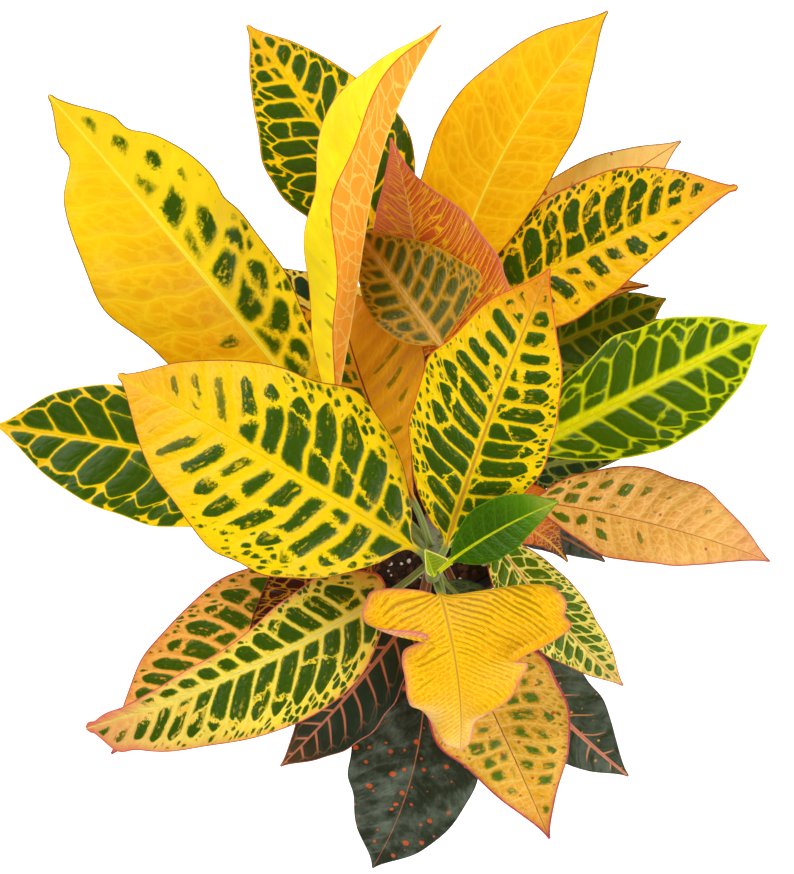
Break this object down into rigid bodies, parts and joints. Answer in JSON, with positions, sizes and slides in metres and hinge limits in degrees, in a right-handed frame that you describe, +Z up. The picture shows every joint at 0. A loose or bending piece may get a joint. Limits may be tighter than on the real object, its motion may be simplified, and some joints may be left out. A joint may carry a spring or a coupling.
{
  "type": "potted croton",
  "caption": "Croton house plant in a round grower's pot, with woody stems and broad patterned leaves spreading over the soil.",
  "frame": {"origin": "centre of the pot's underside, on the surface it stands on", "axes": "+Z up along the pot; the picture looks down on the plant with +X to its right and +Y to its top"},
  "size_m": [0.4105, 0.4539, 0.4054],
  "materials": {
    "pot": "satin",
    "soil": "matte",
    "stem": "matte",
    "leaf_gold": "satin",
    "leaf_green": "satin",
    "leaf_brick": "satin",
    "leaf_olive": "satin",
    "leaf_dark": "satin",
    "leaf_peach": "satin"
  },
  "bodies": {
    "root": {"pot": "pot", "soil": "soil", "stem_main": "stem", "stem_back": "stem", "leaf_left_gold": "leaf_gold", "leaf_back_left_green": "leaf_green", "leaf_back_folded": "leaf_gold", "leaf_back_right_gold": "leaf_gold", "leaf_back_brick": "leaf_brick", "leaf_centre_olive": "leaf_olive", "leaf_centre_amber": "leaf_gold", "leaf_front_left_large": "leaf_green", "leaf_centre_upright": "leaf_green", "leaf_top_small_green": "leaf_green", "leaf_bud": "leaf_green", "leaf_front_curly": "leaf_gold", "leaf_front_peach": "leaf_peach", "leaf_front_spotted": "leaf_dark", "leaf_front_pink_veined": "leaf_dark", "leaf_lower_left_large": "leaf_green", "leaf_far_left_green": "leaf_green", "leaf_lower_left_peach": "leaf_peach", "leaf_lower_left_maroon": "leaf_brick", "leaf_right_lime": "leaf_green", "leaf_right_golden_green": "leaf_green", "leaf_right_pale_peach": "leaf_peach", "leaf_right_pink": "leaf_peach", "leaf_right_deep_green": "leaf_dark", "leaf_right_olive": "leaf_olive", "leaf_right_tan": "leaf_peach", "leaf_right_teal": "leaf_dark", "leaf_right_rolled_brown": "leaf_brick", "leaf_right_dark_grey": "leaf_dark", "leaf_lower_right_cream": "leaf_green", "leaf_lower_right_dark": "leaf_dark", "leaf_inner_cream_veined": "leaf_dark", "leaf_inner_bronze": "leaf_olive", "leaf_inner_dark_green": "leaf_dark", "leaf_inner_young": "leaf_green"}
  },
  "joints": []
}
